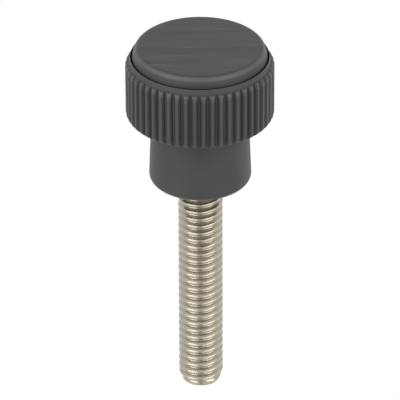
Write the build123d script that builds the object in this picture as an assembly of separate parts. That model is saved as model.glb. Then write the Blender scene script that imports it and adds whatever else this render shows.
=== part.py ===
from build123d import *
import os
from math import atan, cos, pi, sin

# A small knurled knob with a threaded stud, standing on its head.
# The cover cap's flat top lies on z = 0, and the stud points up along +Z.
# All sizes are in millimetres.

# Knurled rim: the wide ring of ribs that the fingers turn
rim_diameter = 12.5
rim_height = 5.5
rim_edge_radius = 0.46

# Ribs: straight grooves between them, evenly round the rim
rib_count = 52
groove_depth = 0.28
groove_mouth_width = 0.54
groove_floor_width = 0.14

# Collar: the smooth tapered ring round the cap, a step narrower than the grooves' floors
collar_step = 0.02
collar_taper = 0.11
collar_height = 0.46
rib_end_height = 0.42
lip_width = 0.01

# Boss: the smaller round foot that carries the stud, slightly wider at its face
boss_length = 6.25
boss_root_diameter = 8.22
boss_face_diameter = 8.66
boss_edge_radius = 0.62

# Cover cap, seated in a recess in the rim, with a snap spigot under it
cap_proud = 0.95
cap_inset = 1.50
cap_taper = 0.28
cap_edge_radius = 0.55
cap_gap = 0.15
spigot_diameter = 5.0
spigot_length = 1.6
spigot_tip_chamfer = 0.25
snap_bead_length = 0.50
snap_bead_proud = 0.09
snap_clearance = 0.02

# Stud: thread M4, 20 mm long, held by a hexagonal head inside the boss
stud_diameter = 3.80
stud_length = 20.0
thread_run_in = 0.10
shank_diameter = 3.4
point_diameter = 3.2
point_height = 0.75
anchor_cover = 2.0
anchor_thickness = 2.0
anchor_wall = 0.95
anchor_sides = 6
moulding_clearance = 0.01

# Places along the axis, from the cap's top upwards
lip_z = cap_proud
collar_end_z = lip_z + collar_height
rib_end_z = collar_end_z + rib_end_height
recess_floor_z = lip_z + cap_inset
rim_end_z = lip_z + rim_height
boss_face_z = rim_end_z + boss_length
thread_start_z = boss_face_z - thread_run_in
stud_tip_z = boss_face_z + stud_length
anchor_z = recess_floor_z + spigot_length + snap_clearance + anchor_cover

# Radii that follow from the sizes above
rim_radius = rim_diameter / 2
collar_radius = rim_radius - groove_depth - collar_step
lip_radius = collar_radius - collar_taper
recess_radius = lip_radius - lip_width
cap_radius = recess_radius - cap_gap
spigot_radius = spigot_diameter / 2
stud_radius = stud_diameter / 2
shank_radius = shank_diameter / 2
anchor_corner_radius = boss_root_diameter / 2 - anchor_wall


def circular_round(start, corner, end, swept):
    """An arc from start to end. At both it is tangent to the line to the corner."""
    return Bezier(start, corner, end, weights=(1, cos(swept / 2), 1))


def rib_end_arc():
    """The ribs' rounded ends: an arc that rises from the collar and meets the rim's side upright."""
    reach = rim_radius - collar_radius
    swept = 2 * atan(reach / rib_end_height)
    corner = (rim_radius, rib_end_z - reach / sin(swept))
    return circular_round((collar_radius, collar_end_z), corner, (rim_radius, rib_end_z), swept)


def rim_edge_arc():
    """The quarter round where the rim's side meets its underside."""
    return circular_round(
        (rim_radius, rim_end_z - rim_edge_radius),
        (rim_radius, rim_end_z),
        (rim_radius - rim_edge_radius, rim_end_z),
        pi / 2,
    )


def head_section():
    """Half of the head's section, cut through the axis, without recess or bores."""
    boss_edge_z = boss_face_z - boss_edge_radius
    with BuildSketch(Plane.XZ) as section:
        with BuildLine():
            Line((0, lip_z), (lip_radius, lip_z))
            Line((lip_radius, lip_z), (collar_radius, collar_end_z))
            add(rib_end_arc())
            Line((rim_radius, rib_end_z), (rim_radius, rim_end_z - rim_edge_radius))
            add(rim_edge_arc())
            Line((rim_radius - rim_edge_radius, rim_end_z), (boss_root_diameter / 2, rim_end_z))
            Line((boss_root_diameter / 2, rim_end_z), (boss_face_diameter / 2, boss_edge_z))
            RadiusArc(
                (boss_face_diameter / 2, boss_edge_z),
                (boss_face_diameter / 2 - boss_edge_radius, boss_face_z),
                -boss_edge_radius,
            )
            Line((boss_face_diameter / 2 - boss_edge_radius, boss_face_z), (0, boss_face_z))
            Line((0, boss_face_z), (0, lip_z))
        make_face()
    return section.sketch


def grooves():
    """The cutters between the ribs, with flat floors and walls that open outwards."""
    floor_x = rim_radius - groove_depth
    outer_x = rim_radius + groove_depth
    outer_width = 2 * groove_mouth_width - groove_floor_width
    with BuildPart() as cutters:
        with BuildSketch(Plane.XY.offset(lip_z)):
            with PolarLocations(0, rib_count, start_angle=-90):
                with BuildSketch(mode=Mode.PRIVATE) as groove:
                    with BuildLine():
                        Polyline(
                            (floor_x, -groove_floor_width / 2),
                            (outer_x, -outer_width / 2),
                            (outer_x, outer_width / 2),
                            (floor_x, groove_floor_width / 2),
                            close=True,
                        )
                    make_face()
                add(groove.sketch)
        extrude(amount=rim_height)
    return cutters.part


def spigot_section(grown_by):
    """Half of the snap spigot's section. Its socket is the same form, grown by a clearance."""
    root_z = recess_floor_z
    tip_z = recess_floor_z + spigot_length + grown_by
    side_x = spigot_radius + grown_by
    bead_z = recess_floor_z + spigot_length / 2
    bead_reach = snap_bead_length / 2 + grown_by
    with BuildSketch(Plane.XZ) as section:
        with BuildLine():
            Polyline(
                (0, root_z),
                (side_x, root_z),
                (side_x, bead_z - bead_reach),
                (side_x + snap_bead_proud, bead_z),
                (side_x, bead_z + bead_reach),
                (side_x, tip_z - spigot_tip_chamfer),
                (side_x - spigot_tip_chamfer, tip_z),
                (0, tip_z),
                close=True,
            )
        make_face()
    return section.sketch


def anchored_stud(grown_by):
    """The stud with its moulded-in head. Its seat in the boss is the same form, grown a little."""
    with BuildPart() as stud:
        with BuildSketch(Plane.XY.offset(anchor_z - grown_by)):
            RegularPolygon(anchor_corner_radius + grown_by, anchor_sides)
        extrude(amount=anchor_thickness + 2 * grown_by)
        with Locations((0, 0, anchor_z)):
            Cylinder(
                shank_radius + grown_by,
                thread_start_z - anchor_z,
                align=(Align.CENTER, Align.CENTER, Align.MIN),
            )
        with Locations((0, 0, thread_start_z - grown_by)):
            Cylinder(
                stud_radius + grown_by,
                stud_tip_z - thread_start_z + grown_by,
                align=(Align.CENTER, Align.CENTER, Align.MIN),
            )
        tip = stud.edges().group_by(Axis.Z)[-1]
        chamfer(tip, length=point_height, length2=stud_radius - point_diameter / 2)
    return stud.part


def knob_body():
    """The moulded head: rim, ribs and boss, with the cap's recess and the stud's seat."""
    with BuildPart() as body:
        add(head_section())
        revolve(axis=Axis.Z)
        add(grooves(), mode=Mode.SUBTRACT)
        with Locations((0, 0, lip_z)):
            Cylinder(
                recess_radius,
                cap_inset,
                align=(Align.CENTER, Align.CENTER, Align.MIN),
                mode=Mode.SUBTRACT,
            )
        add(revolve(spigot_section(snap_clearance), axis=Axis.Z, mode=Mode.PRIVATE), mode=Mode.SUBTRACT)
        add(anchored_stud(moulding_clearance), mode=Mode.SUBTRACT)
    return body.part


def cover_cap():
    """The cap: a thick disc, tapered and rounded where it stands proud, with the snap spigot inside."""
    with BuildPart() as cap:
        with BuildSketch(Plane.XZ):
            with BuildLine():
                Polyline(
                    (0, 0),
                    (cap_radius - cap_taper, 0),
                    (cap_radius, lip_z),
                    (cap_radius, recess_floor_z),
                    (0, recess_floor_z),
                    close=True,
                )
            make_face()
        revolve(axis=Axis.Z)
        fillet(cap.edges().sort_by(Axis.Z)[0], cap_edge_radius)
        add(revolve(spigot_section(0), axis=Axis.Z, mode=Mode.PRIVATE))
    return cap.part


def threaded_stud():
    """The stud: plain at the thread's outside diameter, with a tapered point."""
    return anchored_stud(0)


os.makedirs("parts", exist_ok=True)
for name, build in {
    "knob_body": knob_body,
    "cover_cap": cover_cap,
    "threaded_stud": threaded_stud,
}.items():
    piece = build()
    piece.label = name
    export_step(piece, f"parts/{name}.step")
    size = piece.bounding_box().size
    print(f"{name}: {piece.volume:.1f} cubic mm, {size.X:.2f} x {size.Y:.2f} x {size.Z:.2f} mm")
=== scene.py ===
# %% [markdown]
# # A small knurled knob with a threaded stud
# The solids of this knob were drawn first, in a CAD program, and they are loaded here as a fixed
# frame. This lesson dresses them: it cuts a real thread on the plain stud, and it gives the moulded
# head, the cover cap and the steel their finishes. Everything is in metres, and the knob stands on
# its head: the cap's flat top is at height 0, and the stud points up along Z.

from math import cos, pi, radians, sin, tau

import bmesh
import bpy
from mathutils import Matrix, Quaternion, Vector


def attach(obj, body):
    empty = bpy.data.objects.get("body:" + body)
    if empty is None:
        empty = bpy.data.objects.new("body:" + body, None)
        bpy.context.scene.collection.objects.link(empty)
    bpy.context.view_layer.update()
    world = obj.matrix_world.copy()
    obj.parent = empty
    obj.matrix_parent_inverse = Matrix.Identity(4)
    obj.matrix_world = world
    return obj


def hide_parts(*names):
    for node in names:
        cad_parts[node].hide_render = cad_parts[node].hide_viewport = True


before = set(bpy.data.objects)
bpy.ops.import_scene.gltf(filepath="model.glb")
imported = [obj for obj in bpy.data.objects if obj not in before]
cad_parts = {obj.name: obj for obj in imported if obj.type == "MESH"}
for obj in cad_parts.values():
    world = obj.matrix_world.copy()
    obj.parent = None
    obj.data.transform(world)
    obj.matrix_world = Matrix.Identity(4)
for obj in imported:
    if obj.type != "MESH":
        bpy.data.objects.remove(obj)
bpy.context.view_layer.update()


print("Pieces of the frame:", sorted(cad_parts))

# %% [markdown]
# The sizes of the real knob come back here as names, in millimetres, because the thread has to start
# at the boss's face and to end at the stud's point, exactly where the plain stud does.

# %% Sizes of the stud
mm = 0.001
boss_face_z = 12.70 * mm
stud_tip_z = 32.70 * mm
thread_radius = 1.90 * mm
thread_pitch = 0.70 * mm
point_radius = 1.60 * mm
point_height = 0.75 * mm
shank_radius = 1.70 * mm
anchor_z = 6.07 * mm
anchor_thickness = 2.0 * mm
anchor_corner_radius = 3.16 * mm
anchor_sides = 6
print("The thread has", round((stud_tip_z - boss_face_z) / thread_pitch, 1), "turns")

# %% [markdown]
# ## The camera
# The picture to match looks down on the cap from about 31 degrees above it, with a long lens. Our knob
# stands on its head, so the same view comes from 31 degrees below the bench, with the camera turned
# upside down. The lens is long, so the two sides of the knob stay almost parallel.

# %% Camera
picture_pixels = 400
pixel = 0.0851 * mm
focal_pixels = 4500
view_elevation = radians(30.67)
view_turn = radians(0.7)
view_roll = radians(179.78)
aim = Vector((0.03 * mm, 0.0, 14.94 * mm))

lens = bpy.data.cameras.new("long_lens")
lens.sensor_width = 36.0
lens.lens = focal_pixels / picture_pixels * lens.sensor_width
lens.clip_start = 0.01
lens.clip_end = 20.0
camera = bpy.data.objects.new("camera", lens)
bpy.context.scene.collection.objects.link(camera)
bpy.context.scene.camera = camera
level = Vector((sin(view_turn), cos(view_turn), 0.0))
look = level * cos(view_elevation) + Vector((0.0, 0.0, sin(view_elevation)))
camera.location = aim - look * focal_pixels * pixel
camera.rotation_mode = "QUATERNION"
camera.rotation_quaternion = look.to_track_quat("-Z", "Y") @ Quaternion((0, 0, 1), view_roll)
print("Lens", round(lens.lens), "mm, camera", round(1000 * focal_pixels * pixel), "mm away")

# %% [markdown]
# ## Shader sums as Python
# A material is a graph of nodes. Written by hand, each sum in it takes several lines, so one small
# class wraps an output socket and lets Python's own signs add the Math nodes. The other class makes a
# node from its type, its settings and what goes into its sockets. Two short functions after them start
# a material and turn a finished shape into an object.


# %% Sockets that can be added and multiplied
class Wire:
    """An output socket of a shader node. A sum with it adds a Math node."""

    def __init__(self, graph, socket):
        self.graph, self.socket = graph, socket

    def beside(self, name):
        """Another output of the same node."""
        return Wire(self.graph, self.socket.node.outputs[name])

    def maths(self, operation, *values):
        """One Math node, with this value or the given ones in its sockets."""
        return self.graph.node("ShaderNodeMath", {"operation": operation}, dict(enumerate(values)))

    def __add__(self, other):
        return self.maths("ADD", self, other)

    def __radd__(self, other):
        return self.maths("ADD", other, self)

    def __sub__(self, other):
        return self.maths("SUBTRACT", self, other)

    def __rsub__(self, other):
        return self.maths("SUBTRACT", other, self)

    def __mul__(self, other):
        return self.maths("MULTIPLY", self, other)

    def __rmul__(self, other):
        return self.maths("MULTIPLY", other, self)

    def ramp(self, start, end):
        """0 up to start, 1 from end on, and a soft step between them."""
        sockets = {"Value": self, "From Min": start, "From Max": end}
        return self.graph.node("ShaderNodeMapRange", {"interpolation_type": "SMOOTHSTEP"}, sockets)


class Graph:
    """A node tree that is being filled."""

    def __init__(self, tree):
        self.tree = tree
        tree.nodes.clear()

    def put(self, node, sockets):
        """Links or sets the node's sockets."""
        for name, value in sockets.items():
            if isinstance(value, Wire):
                self.tree.links.new(value.socket, node.inputs[name])
            else:
                node.inputs[name].default_value = value

    def node(self, kind, settings=None, sockets=None, output=0):
        """A new node: first its settings, then its sockets. Gives one of its outputs."""
        made = self.tree.nodes.new(kind)
        for name, value in (settings or {}).items():
            setattr(made, name, value)
        self.put(made, sockets or {})
        return Wire(self, made.outputs[output]) if len(made.outputs) else made

    def blend(self, share, first, second):
        """A colour between first and second."""
        sockets = {0: share, 6: first, 7: second}
        return self.node("ShaderNodeMix", {"data_type": "RGBA"}, sockets, 2)


def grey(level):
    """A neutral colour."""
    return (level, level, level, 1.0)


def new_material(name):
    """An empty material, and the graph of its nodes."""
    material = bpy.data.materials.new(name)
    material.use_nodes = True
    return material, Graph(material.node_tree)


def object_from(name, shape):
    """An object in the scene from a bmesh, which is used up."""
    data = bpy.data.meshes.new(name)
    shape.to_mesh(data)
    shape.free()
    made = bpy.data.objects.new(name, data)
    bpy.context.scene.collection.objects.link(made)
    return made


# %% [markdown]
# ## White room
# The background is plain white. The world is white for what the camera and the shiny steel see, but
# it lights the knob only softly, so the dark plastic keeps the colour that is written for it.

# %% World
world = bpy.data.worlds.new("white_room")
bpy.context.scene.world = world
world.use_nodes = True
room = Graph(world.node_tree)
ray = room.node("ShaderNodeLightPath", output="Is Camera Ray")
sees_room = (ray + ray.beside("Is Glossy Ray") + ray.beside("Is Transmission Ray")).ramp(0.0, 1.0)
room_light = 0.32  # how strongly the room lights what isn't shiny
strength = sees_room * (1.0 - room_light) + room_light
background = room.node("ShaderNodeBackground", sockets={"Color": grey(1.0), "Strength": strength})
room.node("ShaderNodeOutputWorld", sockets={"Surface": background})
bpy.context.scene.view_settings.view_transform = "Standard"
print("Light of the room on dull pieces:", room_light)

# %% [markdown]
# ## The bench
# The knob stands on a pale bench. The camera of the picture is below it, so the bench is seen only
# from above, and it lets the light of every lamp through. Towards its rim it fades into the room.

# %% Bench
bench_size = 1.2
bench_gap = 0.02 * mm
fade_start, fade_end = 0.04, 0.16

sheet = bmesh.new()
bmesh.ops.create_grid(sheet, x_segments=1, y_segments=1, size=bench_size / 2)
bmesh.ops.translate(sheet, verts=sheet.verts, vec=(0, 0, -bench_gap))
bench = object_from("bench", sheet)

bench_finish, graph = new_material("pale_bench")
place = graph.node("ShaderNodeTexCoord", output="Object")
distance = graph.node("ShaderNodeVectorMath", {"operation": "LENGTH"}, {0: place}, "Value")
above = 1.0 - graph.node("ShaderNodeNewGeometry", output="Backfacing")
seen = graph.node("ShaderNodeLightPath", output="Is Camera Ray")
shown = seen * above * (1.0 - distance.ramp(fade_start, fade_end))
paint = graph.node("ShaderNodeBsdfDiffuse", sockets={"Color": grey(0.90)})
clear = graph.node("ShaderNodeBsdfTransparent")
surface = graph.node("ShaderNodeMixShader", sockets={0: shown, 1: clear, 2: paint})
graph.node("ShaderNodeOutputMaterial", sockets={"Surface": surface})
bench.data.materials.append(bench_finish)
print("The bench fades out between", fade_start, "and", fade_end, "m from its middle")

# %% [markdown]
# ## Lamps
# Two soft boxes stand left and right of the picture's camera, on the side of the cap. They stand far
# enough apart to leave the front of the knob a little darker than its sides, as it is in the picture,
# and no lamp stands between them, because the middle of the stud would show it as a row of bright dots.
# The steel needs more: its round crests show what is on the other side of the bench, so three wide low
# strips stand there. A lamp above the stud's tip, behind the knob, keeps the far side from going dark.


# %% Lamps
def soft_box(name, towards, distance, width, height, watts):
    """A lamp in a direction from the knob's middle, turned to face the knob."""
    lamp = bpy.data.lights.new(name, "AREA")
    lamp.shape = "RECTANGLE"
    lamp.size = width
    lamp.size_y = height
    lamp.energy = watts
    holder = bpy.data.objects.new(name, lamp)
    holder.visible_camera = False
    bpy.context.scene.collection.objects.link(holder)
    ray = Vector(towards).normalized()
    holder.location = aim + ray * distance
    holder.rotation_mode = "QUATERNION"
    holder.rotation_quaternion = ray.to_track_quat("Z", "Y")


lamp_distance = 0.42
box_side = 0.28
strip_width, strip_height = 0.36, 0.16
soft_box("lamp_left", (0.66, -0.50, -0.56), lamp_distance, box_side, box_side, 0.88)
soft_box("lamp_right", (-0.66, -0.50, -0.56), lamp_distance, box_side, box_side, 0.74)
soft_box("strip_left", (0.58, -0.60, 0.46), lamp_distance, strip_width, strip_height, 0.21)
soft_box("strip_right", (-0.54, -0.64, 0.46), lamp_distance, strip_width, strip_height, 0.19)
soft_box("strip_far_right", (-0.85, 0.40, 0.46), lamp_distance, 0.30, strip_height, 0.05)
soft_box("lamp_above", (0.1, 0.6, 1.0), 0.50, 0.30, 0.30, 0.35)
print("Lamps:", len(bpy.data.lights))

# %% [markdown]
# ## What the steel sees in front
# Bright metal shows the room in front of it, with the camera in its middle. In the picture that is the
# dark line down the stud. Here a plain dark board stands behind the camera, as a camera on its stand
# does. It gives about half the light of the white room round it. It belongs to the room and not to the
# knob, the camera doesn't see it, and it lets the lamps' light through.

# %% Dark board behind the camera
board_width = 0.15
board_low, board_high = -0.36, 0.52
board_place = (0.02, -0.50)
board_brightness = 0.52

sheet = bmesh.new()
bmesh.ops.create_grid(sheet, x_segments=1, y_segments=1, size=0.5)
bmesh.ops.scale(sheet, verts=sheet.verts, vec=(board_width, board_high - board_low, 1.0))
bmesh.ops.rotate(sheet, verts=sheet.verts, cent=(0, 0, 0), matrix=Matrix.Rotation(pi / 2, 3, "X"))
bmesh.ops.translate(sheet, verts=sheet.verts, vec=(*board_place, (board_low + board_high) / 2))
board = object_from("dark_board", sheet)
board.visible_camera = False
board.visible_shadow = False

board_paint, graph = new_material("dark_board_paint")
paint = graph.node("ShaderNodeEmission", sockets={"Color": grey(1.0), "Strength": board_brightness})
graph.node("ShaderNodeOutputMaterial", sockets={"Surface": paint})
board.data.materials.append(board_paint)
print("Board in the room in m:", board_width, "x", board_high - board_low)

# %% [markdown]
# ## The thread
# On the real knob the stud's thread is rolled: a bar is squeezed between ribbed plates. The bar was a
# little thin for them, so the crests stay broad, with soft edges, and the roots are round. One ridge of
# the metric form is drawn as a short profile, one pitch high. Turned about the axis and raised by one
# pitch a turn, its two ends meet from turn to turn, so the ribbon closes into one smooth skin once its
# doubles are merged.


# %% Profile of one ridge
def ridge_profile():
    """(depth, height) of one ridge as shares of the pitch, from root to root."""
    root_round = 0.1443  # radius of the round root
    root_centre = 0.3263  # depth of its centre
    half = [(0.0, 0.0), (0.0, 0.080), (0.008, 0.106), (0.030, 0.130), (0.060, 0.155), (0.3984, 0.375)]
    for angle in (40, 20, 0):
        turn = radians(angle)
        half.append((root_centre + root_round * cos(turn), 0.5 - root_round * sin(turn)))
    lower = [(depth, -height) for depth, height in reversed(half)]
    return lower + half[1:]


profile = ridge_profile()
print("Points in one ridge:", len(profile), "- depth", round(max(p[0] for p in profile), 3), "pitch")


# %% Turn the ridge into a thread
def of_kind(kind, geometry):
    """The points or the edges among what an operation has made."""
    return [item for item in geometry if isinstance(item, kind)]


steps_per_turn = 60
run_in = 0.10 * mm
spare_turns = 3
weld_distance = 0.0005 * mm
thread_start_z = boss_face_z - run_in
start_angle = radians(60.0)
turns = int((stud_tip_z - thread_start_z) / thread_pitch) + spare_turns

thread = bmesh.new()
low_z = thread_start_z - thread_pitch
ridge = [
    thread.verts.new((thread_radius - depth * thread_pitch, 0.0, low_z + height * thread_pitch))
    for depth, height in profile
]
for lower, upper in zip(ridge, ridge[1:]):
    thread.edges.new((lower, upper))
turned = Matrix.Rotation(start_angle, 3, "Z")
bmesh.ops.rotate(thread, verts=thread.verts, cent=(0, 0, 0), matrix=turned)
bmesh.ops.spin(
    thread,
    geom=thread.verts[:] + thread.edges[:],
    cent=(0, 0, 0),
    axis=(0, 0, 1),
    dvec=(0, 0, thread_pitch / steps_per_turn),
    angle=tau,
    steps=steps_per_turn,
    use_merge=False,
)
first_turn = thread.verts[:] + thread.edges[:] + thread.faces[:]
for turn in range(1, turns):
    copied = bmesh.ops.duplicate(thread, geom=first_turn)["geom"]
    points = of_kind(bmesh.types.BMVert, copied)
    bmesh.ops.translate(thread, verts=points, vec=(0, 0, turn * thread_pitch))
bmesh.ops.remove_doubles(thread, verts=thread.verts, dist=weld_distance)
print("Skin of the thread:", len(thread.verts), "points,", len(thread.faces), "faces")

# %% [markdown]
# The ends are cut square, as the real bar is cut. The point is turned to a cone, which takes the
# crests off the last turn: each point of the skin that is outside the cone moves in to it.

# %% Cut the ends and turn the point
cut_tolerance = 0.0001 * mm
near_end = 0.01 * mm
for height, normal in ((thread_start_z, (0, 0, -1)), (stud_tip_z, (0, 0, 1))):
    bmesh.ops.bisect_plane(
        thread,
        geom=thread.verts[:] + thread.edges[:] + thread.faces[:],
        dist=cut_tolerance,
        plane_co=(0, 0, height),
        plane_no=normal,
        clear_outer=True,
    )
cone_slope = (thread_radius - point_radius) / point_height
for point in thread.verts:
    reach = point.co.xy.length
    cone = min(thread_radius, point_radius + (stud_tip_z - point.co.z) * cone_slope)
    if reach > cone:
        point.co.xy *= cone / reach
open_edges = [e for e in thread.edges if e.is_boundary]
print("Open edges:", len(open_edges))
tip_edges = [e for e in open_edges if e.verts[0].co.z > stud_tip_z - near_end]
root_edges = [e for e in open_edges if e.verts[0].co.z < thread_start_z + near_end]
bmesh.ops.contextual_create(thread, geom=tip_edges)
print("Edges round the tip:", len(tip_edges), "and round the start:", len(root_edges))

# %% [markdown]
# Inside the boss the real stud has a smooth shank and a head that the plastic grips. Nobody sees
# them, but they are made here too, so the piece keeps the whole form of the solid it replaces.


# %% Shank and gripped head
def ring(corners, radius, height):
    """The edges of a loop about the axis: a circle, or a polygon if it has few corners."""
    points = bmesh.ops.create_circle(thread, segments=corners, radius=radius)["verts"]
    bmesh.ops.translate(thread, verts=points, vec=(0, 0, height))
    return list({edge for point in points for edge in point.link_edges})


def pull(edges, rise):
    """Draws a wall from a loop of edges, up or down. Gives the edges of its far end."""
    pulled = bmesh.ops.extrude_edge_only(thread, edges=edges)["geom"]
    bmesh.ops.translate(thread, verts=of_kind(bmesh.types.BMVert, pulled), vec=(0, 0, rise))
    return of_kind(bmesh.types.BMEdge, pulled)


anchor_top_z = anchor_z + anchor_thickness
shank_top = ring(steps_per_turn, shank_radius, thread_start_z)
bmesh.ops.bridge_loops(thread, edges=root_edges + shank_top)
shank_foot = pull(shank_top, anchor_top_z - thread_start_z)
hexagon = ring(anchor_sides, anchor_corner_radius, anchor_top_z)
bmesh.ops.bridge_loops(thread, edges=shank_foot + hexagon)
bmesh.ops.contextual_create(thread, geom=pull(hexagon, -anchor_thickness))
bmesh.ops.recalc_face_normals(thread, faces=thread.faces)
print("Edges still open:", sum(not e.is_manifold for e in thread.edges))

# %% [markdown]
# A rolled thread shines smoothly round its crests and roots, so the skin is shaded smooth. Only the
# edges that are really sharp, at the tip, the shank and the hexagon, stay sharp. The new piece rides
# on the knob's body and takes the place of the plain stud.

# %% Make the stud an object
sharp_angle = radians(50)
for face in thread.faces:
    face.smooth = True
for edge in thread.edges:
    edge.smooth = edge.calc_face_angle(pi) < sharp_angle
stud = object_from("rolled_thread_stud", thread)
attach(stud, "root")
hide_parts("threaded_stud")
print("Triangles of the stud:", sum(len(p.vertices) - 2 for p in stud.data.polygons))

# %% [markdown]
# ## Moulded plastic
# The head and the cap are moulded in a dark grey plastic with a touch of green. Both need the same
# start: a place on the piece, how far that is from the axis and how high, soft clouds of colour, and a
# fine grain that dulls the skin.


# %% Start of a finish
class Finish:
    """A material that is being built, with the places on the piece that its masks are made of."""

    def __init__(self, name):
        self.material, self.graph = new_material(name)
        add = self.graph.node
        self.place = add("ShaderNodeTexCoord", output="Object")
        flat = add("ShaderNodeVectorMath", {"operation": "MULTIPLY"}, {0: self.place, 1: (1, 1, 0)})
        self.radius = add("ShaderNodeVectorMath", {"operation": "LENGTH"}, {0: flat}, "Value")
        self.height = add("ShaderNodeSeparateXYZ", sockets={0: self.place}, output="Z")

    def noise(self, scale, detail=2.0, place=None):
        """Soft noise between 0 and 1."""
        sockets = {"Vector": place or self.place, "Scale": scale, "Detail": detail}
        return self.graph.node("ShaderNodeTexNoise", sockets=sockets)

    def flecks(self, scale, size, share):
        """1 on small specks. The share says in how many cells of the pattern there is one."""
        cells = self.graph.node("ShaderNodeTexVoronoi", sockets={"Vector": self.place, "Scale": scale})
        chosen = self.graph.node("ShaderNodeSeparateColor", sockets={0: cells.beside("Color")})
        return (1.0 - cells.ramp(0.5 * size, size)) * (1.0 - chosen.ramp(share, share + 0.01))

    def bump(self, height, strength, depth):
        """A relief of the surface's small unevenness."""
        sockets = {"Strength": strength, "Distance": depth, "Height": height}
        return self.graph.node("ShaderNodeBump", sockets=sockets)

    def close(self, sockets):
        """Joins the colours and values to the shader. Gives the finished material."""
        skin = self.graph.node("ShaderNodeBsdfPrincipled", sockets=sockets)
        self.graph.node("ShaderNodeOutputMaterial", sockets={"Surface": skin})
        return self.material


# Noise counts per metre, and what both plastic pieces share
cloud_scale = 420.0
grain_scale = 9000.0
grain_strength, grain_depth = 0.25, 0.01 * mm
plastic_shine = 0.42


def green_grey(level):
    """The plastic's own colour: grey with a touch of green."""
    return (level * 0.89, level, level * 0.93, 1.0)


def dress(node, finish):
    """Puts a finish on a solid of the frame."""
    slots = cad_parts[node].data.materials
    slots.clear()
    slots.append(finish)
    print(node, "wears", finish.name)


# %% [markdown]
# The ribs' crowns, the corners where they run out towards the collar, and the collar are painted a
# little lighter, as painted highlights, and are a little smoother than the rest. The bottoms of the
# grooves are painted darker, as painted shade. A few pale specks of dust sit on the ribs. Each pair of
# places below is a soft border: the first is where it starts, the second where it ends, out from the
# axis or up from the bench.

# %% Plastic of the head
rim_top = (6.2 * mm, 6.5 * mm)
groove_start = (1.3 * mm, 1.5 * mm)
groove_wall = (5.98 * mm, 6.12 * mm)
crown_start = (6.14 * mm, 6.24 * mm)
rib_corner = (5.97 * mm, 6.12 * mm)
rib_end_top = (1.75 * mm, 2.1 * mm)
collar_top = (1.32 * mm, 1.50 * mm)
speck_scale, speck_size, speck_share = 1500.0, 0.09, 0.05

head = Finish("moulded_grey_plastic")
clouds = head.noise(cloud_scale, 3.0)
grain = head.noise(grain_scale)
in_rim = 1.0 - head.height.ramp(*rim_top)
# Painted shade: the bottoms of the grooves get a darker colour.
painted_groove_shade = in_rim * head.height.ramp(*groove_start) * (1.0 - head.radius.ramp(*groove_wall))
# Painted highlight: the crowns, the rib ends and the collar get a lighter colour, and a lower
# roughness.
crown = in_rim * head.radius.ramp(*crown_start)
rib_end = head.radius.ramp(*rib_corner) * (1.0 - head.height.ramp(*rib_end_top))
collar = 1.0 - head.height.ramp(*collar_top)
painted_highlight_and_polish = crown * 0.30 + rib_end * (0.6 + 0.4 * clouds.ramp(0.4, 0.6)) + collar * 0.3
specks = in_rim * head.flecks(speck_scale, speck_size, speck_share)
tone = head.graph.blend(clouds.ramp(0.3, 0.7), green_grey(0.044), green_grey(0.050))
# Painted shade in the bottoms of the grooves.
tone = head.graph.blend(painted_groove_shade, tone, green_grey(0.036))
# Painted highlight: a lighter colour on the crowns, the rib ends and the collar.
tone = head.graph.blend(painted_highlight_and_polish, tone, green_grey(0.085))
tone = head.graph.blend(specks, tone, green_grey(0.22))
dress(
    "knob_body",
    head.close(
        {
            "Base Color": tone,
            "Roughness": 0.50 + 0.08 * clouds - 0.10 * painted_highlight_and_polish,
            "Specular IOR Level": plastic_shine,
            "Normal": head.bump(grain, grain_strength, grain_depth),
        }
    ),
)

# %% [markdown]
# The cap is a moulding of its own and a shade smoother. Cleaning has left faint lines on its flat top,
# nearly all in one direction: noise that is stretched a lot along them. A paler ring round its edge is
# a painted highlight, and its side is painted darker towards the gap, as painted shade.

# %% Plastic of the cap
line_turn = radians(2.5)
line_stretch = (0.07, 1.0, 1.0)
line_scale, wide_line_scale = 2300.0, 700.0
flat_top = (0.02 * mm, 0.10 * mm)
edge_start = (5.24 * mm, 5.36 * mm)
edge_top = (0.28 * mm, 0.50 * mm)
# Where the painted shade on the cap's side, darker towards the gap, starts and ends.
gap_shade_start = (0.50 * mm, 0.95 * mm)

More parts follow.
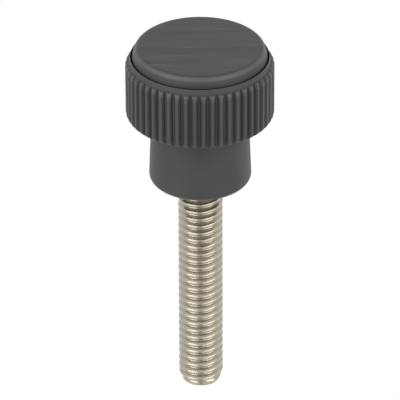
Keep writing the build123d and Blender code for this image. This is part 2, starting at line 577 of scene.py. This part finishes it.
cap = Finish("cap_grey_plastic")
clouds = cap.noise(cloud_scale, 3.0)
grain = cap.noise(grain_scale)
mapping = {"Vector": cap.place, "Rotation": (0.0, 0.0, line_turn), "Scale": line_stretch}
along = cap.graph.node("ShaderNodeMapping", sockets=mapping)
lines = cap.noise(line_scale, 3.0, along)
wide_lines = cap.noise(wide_line_scale, 1.0, along)
wiped = (1.0 - cap.height.ramp(*flat_top)) * clouds.ramp(0.25, 0.55)
light_lines = wiped * lines.ramp(0.50, 0.70)
dark_lines = wiped * wide_lines.ramp(0.45, 0.65)
# Painted highlight: a paler ring round the cap's edge.
edge = cap.radius.ramp(*edge_start) * (1.0 - cap.height.ramp(*edge_top))
# Painted shade: the cap's side gets darker towards the gap.
painted_gap_shade = cap.height.ramp(*gap_shade_start)
tone = cap.graph.blend(clouds.ramp(0.3, 0.7), green_grey(0.047), green_grey(0.053))
tone = cap.graph.blend(dark_lines * 0.7, tone, green_grey(0.030))
tone = cap.graph.blend(light_lines, tone, green_grey(0.066))
# Painted shade towards the gap.
tone = cap.graph.blend(painted_gap_shade, tone, green_grey(0.020))
# Painted highlight on the cap's edge.
tone = cap.graph.blend(edge * 0.9, tone, green_grey(0.105))
dress(
    "cover_cap",
    cap.close(
        {
            "Base Color": tone,
            "Roughness": 0.46 + 0.08 * clouds - 0.06 * light_lines,
            "Specular IOR Level": plastic_shine,
            "Normal": cap.bump(grain + 0.6 * lines, grain_strength, grain_depth),
        }
    ),
)

# %% [markdown]
# ## Rolled steel
# Stainless steel is a little warmer than chrome, and rolling leaves it satin. The thread's roots are
# darker, browner and duller than the crests, and small stains vary both. Wider
# patches are tinted a very little green or pink, as a thin oxide does.

# %% Steel of the stud
dark_steel, bright_steel = (0.40, 0.368, 0.303, 1.0), (0.46, 0.423, 0.350, 1.0)
root_steel = (0.36, 0.328, 0.262, 1.0)
greenish, pinkish = (0.98, 1.0, 0.97, 1.0), (1.0, 0.975, 0.985, 1.0)
stain_scale, patch_scale = 1100.0, 260.0
root_end = (1.66 * mm, 1.86 * mm)

steel = Finish("rolled_stainless")
stains = steel.noise(stain_scale, 3.0)
patches = steel.noise(patch_scale, 2.0)
root = 1.0 - steel.radius.ramp(*root_end)
tone = steel.graph.blend(stains.ramp(0.3, 0.7), dark_steel, bright_steel)
tone = steel.graph.blend(root * 0.8, tone, root_steel)
tint = steel.graph.blend(patches.ramp(0.35, 0.65), greenish, pinkish)
tinting = {"data_type": "RGBA", "blend_type": "MULTIPLY"}
tone = steel.graph.node("ShaderNodeMix", tinting, {0: 1.0, 6: tone, 7: tint}, 2)
stud.data.materials.append(
    steel.close(
        {
            "Base Color": tone,
            "Metallic": 1.0,
            "Roughness": 0.19 + 0.08 * stains + 0.05 * root,
        }
    )
)
print("The stud wears", steel.material.name)

# %% [markdown]
# ## The end
# The scene is brought up to date. The dressed knob may not grow out of its solids.

# %% The end
bpy.context.view_layer.update()
